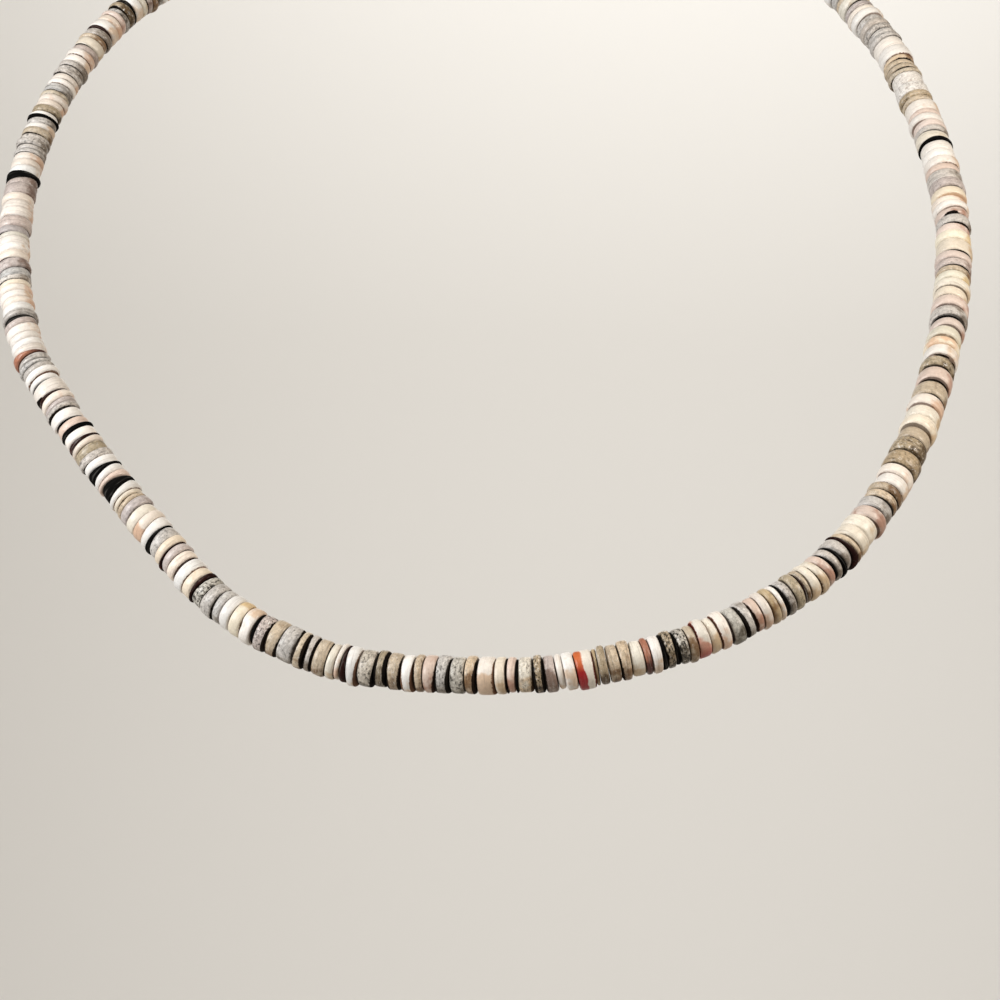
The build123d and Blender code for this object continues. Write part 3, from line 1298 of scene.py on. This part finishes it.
    def settle(self) -> None:
        """Leans the discs on one another: two faces that meet lie in one plane."""
        draw = random.Random(f"lean {self.side}")
        slopes = [Vector((0, 0))]
        for disc in self.discs:
            step = Vector((draw.gauss(0, self.wander), draw.gauss(0, self.wander)))
            step += slopes[-1] * (self.keep - 1)
            limit = STEEPEST * disc.size / disc.radius
            slopes.append(slopes[-1] + step * min(1.0, limit / max(step.length, 1e-6)))
        for k, disc in enumerate(self.discs):
            if disc.shell in DARK_KINDS or Mark.WEDGED in disc.marks:
                angle = self.across(disc.start, self.opening(disc.start)) + draw.gauss(0, WEDGE_DRIFT)
                reach = draw.uniform(*WEDGE_SHARES) * min(disc.size, WEDGE_SIZE) / disc.radius
                if Mark.OPEN_INWARDS in disc.marks:
                    reach *= -1
                opening = Vector((math.cos(angle), math.sin(angle))) * reach * self.facing / 2
                slopes[k] -= opening
                slopes[k + 1] += opening
        meetings = [0.0] + [
            (a.start + a.size + b.start) / 2 for a, b in zip(self.discs, self.discs[1:])
        ] + [self.room]
        normals = []
        for slope, at in zip(slopes, meetings):
            place = self.route.place(self.place(at)).to_3x3()
            front = place.transposed() @ Vector((0, -1, 0))
            lean = math.radians(table_value(self.leans, at / self.room))
            leant = slope - front.xy.normalized() * math.tan(lean)
            normals.append(place @ Vector((-leant.x, -leant.y, 1)).normalized())
        for k, disc in enumerate(self.discs):
            turn = self.route.place(self.place(disc.start + disc.size / 2)).to_3x3().transposed()
            near, far = turn @ normals[k], turn @ normals[k + 1]
            disc.near, disc.far = -near.xy / near.z, -far.xy / far.z

    def build(self, finish: bpy.types.Material) -> None:
        """Makes the string's stretches, each in the place of its CAD node.

        Args:
            finish: the shell finish.
        """
        count = len(self.discs)
        edges = [round(k * count / STRETCHES_PER_SIDE) for k in range(STRETCHES_PER_SIDE + 1)]
        for number, (first, last) in enumerate(zip(edges, edges[1:]), start=1):
            stretch = bmesh.new()
            for k in range(first, last):
                self.add(stretch, k)
            piece = placed(f"discs_{self.side}_{number}", stretch, finish, rounded=True)
            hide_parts(f"beads_{self.side}_{number}")

    def add(self, stretch: bmesh.types.BMesh, k: int) -> None:
        """Adds a disc to a stretch, in its place on the thread.

        Args:
            stretch: the stretch's mesh, in metres.
            k: the disc's number.
        """
        disc = self.discs[k]
        shape = self.maker.make(disc, random.Random(f"{self.side} {k}"))
        place = self.route.place(self.place(disc.start + disc.size / 2))
        bmesh.ops.transform(shape, matrix=Matrix.Scale(MM, 4) @ place, verts=shape.verts)
        back_in = [
            max(low - min(spots), 0.0) + min(high - max(spots), 0.0)
            for low, high, spots in zip(*CAD_BOX, zip(*(vert.co for vert in shape.verts)))
        ]
        bmesh.ops.translate(shape, vec=back_in, verts=shape.verts)
        mesh = bpy.data.meshes.new("disc")
        shape.to_mesh(mesh)
        shape.free()
        stretch.from_mesh(mesh)
        bpy.data.meshes.remove(mesh)


def of_kind(kind: type[MeshPart], parts: Sequence[MeshPart]) -> list[MeshPart]:
    """Those of some corners, edges and faces that are of one kind."""
    return [part for part in parts if isinstance(part, kind)]


def shown(name: str, shape: bmesh.types.BMesh, finish: bpy.types.Material) -> bpy.types.Object:
    """Turns a finished bmesh in metres into a smooth-shaded object of the scene.

    Args:
        name: of the object.
        shape: its mesh, freed here.
        finish: its material.

    Returns:
        The object.
    """
    mesh = bpy.data.meshes.new(name)
    for one in shape.faces:
        one.smooth = True
    shape.to_mesh(mesh)
    shape.free()
    mesh.materials.append(finish)
    thing = bpy.data.objects.new(name, mesh)
    bpy.context.scene.collection.objects.link(thing)
    return thing


def placed(
    name: str, shape: bmesh.types.BMesh, finish: bpy.types.Material, rounded: bool = False
) -> bpy.types.Object:
    """Turns a finished bmesh in metres into a piece that rides on the root.

    Args:
        name: of the piece.
        shape: its mesh, freed here.
        finish: its material.
        rounded: whether its surface is subdivided once.

    Returns:
        The piece.
    """
    piece = shown(name, shape, finish)
    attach(piece, ROOT)
    if rounded:
        softened = piece.modifiers.new("rounded", "SUBSURF")
        softened.levels = softened.render_levels = 1
    log.info("%s: %d faces", name, len(piece.data.polygons))
    return piece


@dataclass
class Thread:
    """Twisted two-ply waxed thread, from one end of the clasp round the front to the other.

    Attributes:
        route: the line that it follows.
        radius: of the thread over both plies.
        waist: share of the radius that the plies leave between them.
        pitch: length of thread in which the plies go round once.
        step: length of one section.
        segments: corners of a section.
        tuck: how far each end goes into the clasp.
    """

    route: Route
    radius: float = 0.42
    waist: float = 0.72
    pitch: float = 3.2
    step: float = 0.4
    segments: int = 8
    tuck: float = 1.0

    def build(self, finish: bpy.types.Material) -> None:
        """Makes the thread.

        Args:
            finish: the thread's finish.
        """
        start = self.route.nape + CLASP_LENGTH / 2 - self.tuck
        length = self.route.length - CLASP_LENGTH + 2 * self.tuck
        count = round(length / self.step)
        shape = bmesh.new()
        ring = bmesh.ops.create_circle(shape, segments=self.segments, radius=self.radius, cap_ends=True)
        bmesh.ops.scale(shape, vec=(1, self.waist, 1), verts=ring["verts"])
        before = self.section(start)
        bmesh.ops.transform(shape, matrix=before, verts=shape.verts)
        end = shape.faces[:]
        for k in range(1, count + 1):
            here = self.section(start + length * k / count)
            grown = bmesh.ops.extrude_face_region(shape, geom=end, use_keep_orig=k == 1)
            corners = of_kind(bmesh.types.BMVert, grown["geom"])
            bmesh.ops.delete(shape, geom=[] if k == 1 else end, context="FACES_ONLY")
            bmesh.ops.transform(shape, matrix=here @ before.inverted(), verts=corners)
            end = of_kind(bmesh.types.BMFace, grown["geom"])
            before = here
        bmesh.ops.recalc_face_normals(shape, faces=shape.faces)
        bmesh.ops.scale(shape, vec=(MM, MM, MM), verts=shape.verts)
        piece = placed("thread", shape, finish)

    def section(self, distance: float) -> Matrix:
        """Place and twist of the section at a distance along the route."""
        return self.route.place(distance) @ Matrix.Rotation(math.tau * distance / self.pitch, 4, "Z")


@dataclass
class Clasp:
    """Plain barrel clasp with a neck at each end, in the place of its CAD node.

    Attributes:
        route: the line that it lies on.
        diameter: of the barrel.
        neck_diameter: of the necks.
        neck_length: of each neck.
        shoulder: how far the barrel's ends are rounded off.
        hole: radius of the hole that the thread goes into.
        hole_depth: of that hole.
        hole_edge: how far its mouth is eased.
        neck_edge: how far a neck's outer edge is eased.
        neck_root: how far a neck widens where it meets the barrel, and over what length.
        middle: half the length of the barrel's middle ring of faces.
    """

    route: Route
    diameter: float = 4.4
    neck_diameter: float = 2.2
    neck_length: float = 1.2
    shoulder: float = 0.8
    hole: float = 0.5
    hole_depth: float = 0.8
    hole_edge: float = 0.1
    neck_edge: float = 0.15
    neck_root: tuple[float, float] = (0.12, 0.2)
    middle: float = 0.25

    def profile(self) -> list[tuple[float, float]]:
        """Draws half of the outline, from the hole's floor to the barrel's middle.

        Returns:
            Its corners, each a radius and a length along the clasp.
        """
        end, barrel_end = CLASP_LENGTH / 2, CLASP_LENGTH / 2 - self.neck_length
        neck, barrel = self.neck_diameter / 2, self.diameter / 2
        widening, root = self.neck_root
        rounded = [
            (
                barrel - self.shoulder + self.shoulder * math.cos(angle),
                barrel_end - self.shoulder + self.shoulder * math.sin(angle),
            )
            for angle in map(math.radians, (90, 60, 30, 0))
        ]
        return [
            (0.0, end - self.hole_depth), (self.hole, end - self.hole_depth),
            (self.hole, end - self.hole_edge), (self.hole + self.hole_edge, end),
            (neck - self.neck_edge, end), (neck, end - self.neck_edge),
            (neck, barrel_end + root), (neck + widening, barrel_end),
            *rounded, (barrel, self.middle),
        ]

    def build(self, finish: bpy.types.Material) -> None:
        """Makes the clasp.

        Args:
            finish: its metal.
        """
        shape = bmesh.new()
        half = self.profile()
        corners = [
            shape.verts.new((radius, 0, length))
            for radius, length in (*half, *((radius, -length) for radius, length in reversed(half)))
        ]
        for first, second in zip(corners, corners[1:]):
            shape.edges.new((first, second))
        bmesh.ops.spin(
            shape, geom=shape.verts[:] + shape.edges[:], axis=(0, 0, 1), cent=(0, 0, 0),
            angle=math.tau, steps=32, use_merge=True,
        )
        bmesh.ops.remove_doubles(shape, verts=shape.verts, dist=1e-4)
        bmesh.ops.recalc_face_normals(shape, faces=shape.faces)
        place = Matrix.Scale(MM, 4) @ self.route.place(self.route.nape)
        bmesh.ops.transform(shape, matrix=place, verts=shape.verts)
        piece = placed("barrel_clasp", shape, finish, rounded=True)
        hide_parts("clasp")


# Stage


@dataclass(frozen=True)
class SoftLight:
    """Square soft light.

    Attributes:
        name: of the light.
        spot: where it stands, in metres.
        size: of its side.
        power: in watts.
        colour: scene-linear.
        aim: what it points at.
    """

    name: str
    spot: Place
    size: float
    power: float
    colour: Colour
    aim: Place = (0.0, 0.0, 0.0)

    def hang(self) -> None:
        """Adds the light to the scene."""
        data = bpy.data.lights.new(self.name, "AREA")
        data.size, data.energy, data.color = self.size, self.power, self.colour
        lamp = bpy.data.objects.new(self.name, data)
        lamp.location = Vector(self.spot)
        way = Vector(self.aim) - lamp.location
        lamp.rotation_euler = way.to_track_quat("-Z", "Y").to_euler()
        bpy.context.scene.collection.objects.link(lamp)


LIGHTS = (
    SoftLight("left", (-0.34, -0.24, 0.10), 0.25, 1.6, (1.0, 1.0, 1.0)),
    SoftLight("top", (-0.10, -0.35, 0.70), 0.5, 1.45, (1.0, 0.91, 0.79)),
    SoftLight("right", (0.22, -0.12, 0.09), 0.12, 0.42, (1.0, 0.92, 0.82)),
    SoftLight("sheet", (0.0, 0.75, 0.45), 0.4, 4.3, (0.97, 0.98, 1.0), aim=(0.0, 1.20, 0.0)),
)


@dataclass
class Studio:
    """Pale sheet, soft lights and the camera.

    Attributes:
        floor: height of the sheet's floor, in metres.
        back: where the sheet starts to curve up.
        bend: radius of that curve.
        front: how far the sheet reaches in front of the origin.
        top: height of the sheet above its curve.
        width: of the sheet.
        air: scene-linear colour of the even light all round.
        air_strength: of that light.
        azimuth: of the camera, in degrees towards the viewer's right.
        pitch: how far the camera looks down, in degrees.
        roll: how far it is tilted, in degrees.
        distance: from the camera to what it looks at.
        aim: what it looks at, across the picture and in height.
        lens: its focal length on a sensor 36 mm wide, in millimetres.
    """

    floor: float = -0.35
    back: float = 0.85
    bend: float = 0.35
    front: float = 2.5
    top: float = 2.5
    width: float = 4.0
    air: Colour = (1.0, 0.86, 0.70)
    air_strength: float = 0.17
    azimuth: float = 4.0
    pitch: float = 2.0
    roll: float = 0.7
    distance: float = 0.580
    aim: tuple[float, float] = (0.002, -0.030)
    lens: float = 148.46

    def build(self) -> None:
        """Sets the stage, the lights and the camera."""
        self.lay_sheet()
        for light in LIGHTS:
            light.hang()
        self.world()
        self.camera()
        bpy.context.scene.view_settings.view_transform = "Standard"

    def lay_sheet(self) -> None:
        """Lays one sheet that curves up from the floor behind the object."""
        sheet = bmesh.new()
        ends = [sheet.verts.new((side * self.width / 2, -self.front, self.floor)) for side in (-1, 1)]
        floor = bmesh.ops.extrude_edge_only(sheet, edges=[sheet.edges.new(ends)])["geom"]
        corners = of_kind(bmesh.types.BMVert, floor)
        bmesh.ops.translate(sheet, vec=(0, self.back + self.front, 0), verts=corners)
        curve = bmesh.ops.spin(
            sheet, geom=of_kind(bmesh.types.BMEdge, floor), axis=(1, 0, 0),
            cent=(0, self.back, self.floor + self.bend), angle=math.pi / 2, steps=24,
        )
        curve_end = of_kind(bmesh.types.BMEdge, curve["geom_last"])
        wall = bmesh.ops.extrude_edge_only(sheet, edges=curve_end)["geom"]
        corners = of_kind(bmesh.types.BMVert, wall)
        bmesh.ops.translate(sheet, vec=(0, 0, self.top), verts=corners)
        bmesh.ops.remove_doubles(sheet, verts=sheet.verts, dist=1e-5)
        backdrop = shown("sheet", sheet, SheetFinish().material())

    def world(self) -> None:
        """Surrounds the stage with a pale even light."""
        world = bpy.data.worlds.new("pale")
        world.use_nodes = True
        ground = world.node_tree.nodes["Background"]
        ground.inputs["Color"].default_value = (*self.air, 1.0)
        ground.inputs["Strength"].default_value = self.air_strength
        bpy.context.scene.world = world

    def camera(self) -> None:
        """Sets the camera a little to the viewer's right, low, looking at the front."""
        azimuth, pitch, roll = map(math.radians, (self.azimuth, self.pitch, self.roll))
        across, height = self.aim
        back = Vector(
            (math.sin(azimuth) * math.cos(pitch), -math.cos(azimuth) * math.cos(pitch), math.sin(pitch))
        )
        level = Vector((math.cos(azimuth), math.sin(azimuth), 0))
        upright = back.cross(level)
        right = level * math.cos(roll) + upright * math.sin(roll)
        up = upright * math.cos(roll) - level * math.sin(roll)
        data = bpy.data.cameras.new("camera")
        data.sensor_width, data.lens = 36.0, self.lens
        camera = bpy.data.objects.new("camera", data)
        turn = Matrix((right, up, back)).transposed().to_4x4()
        spot = right * across + Vector((0, 0, height)) + back * self.distance
        camera.matrix_world = Matrix.Translation(spot) @ turn
        bpy.context.scene.collection.objects.link(camera)
        bpy.context.scene.camera = camera


def main() -> None:
    """Builds the necklace and its stage."""
    logging.basicConfig(level=logging.INFO, format="%(name)s %(message)s")
    route = Route()
    shell = ShellFinish().material()
    half_clasp = CLASP_LENGTH / 2
    right = DiscString(
        "right", RIGHT_CHART, RIGHT_WIDTHS, RIGHT_LEANS,
        route.nape - half_clasp, route, place=lambda at: at, facing=-1,
    )
    left = DiscString(
        "left", LEFT_CHART, LEFT_WIDTHS, LEFT_LEANS,
        route.length - route.nape - half_clasp, route, place=lambda at: route.length - at, facing=1,
    )
    for string in (right, left):
        string.build(shell)
    Thread(route).build(CordFinish().material())
    Clasp(route).build(SteelFinish().material())
    Studio().build()
    log.info("loop of %.1f mm", route.length)


if __name__ == "__main__":
    main()
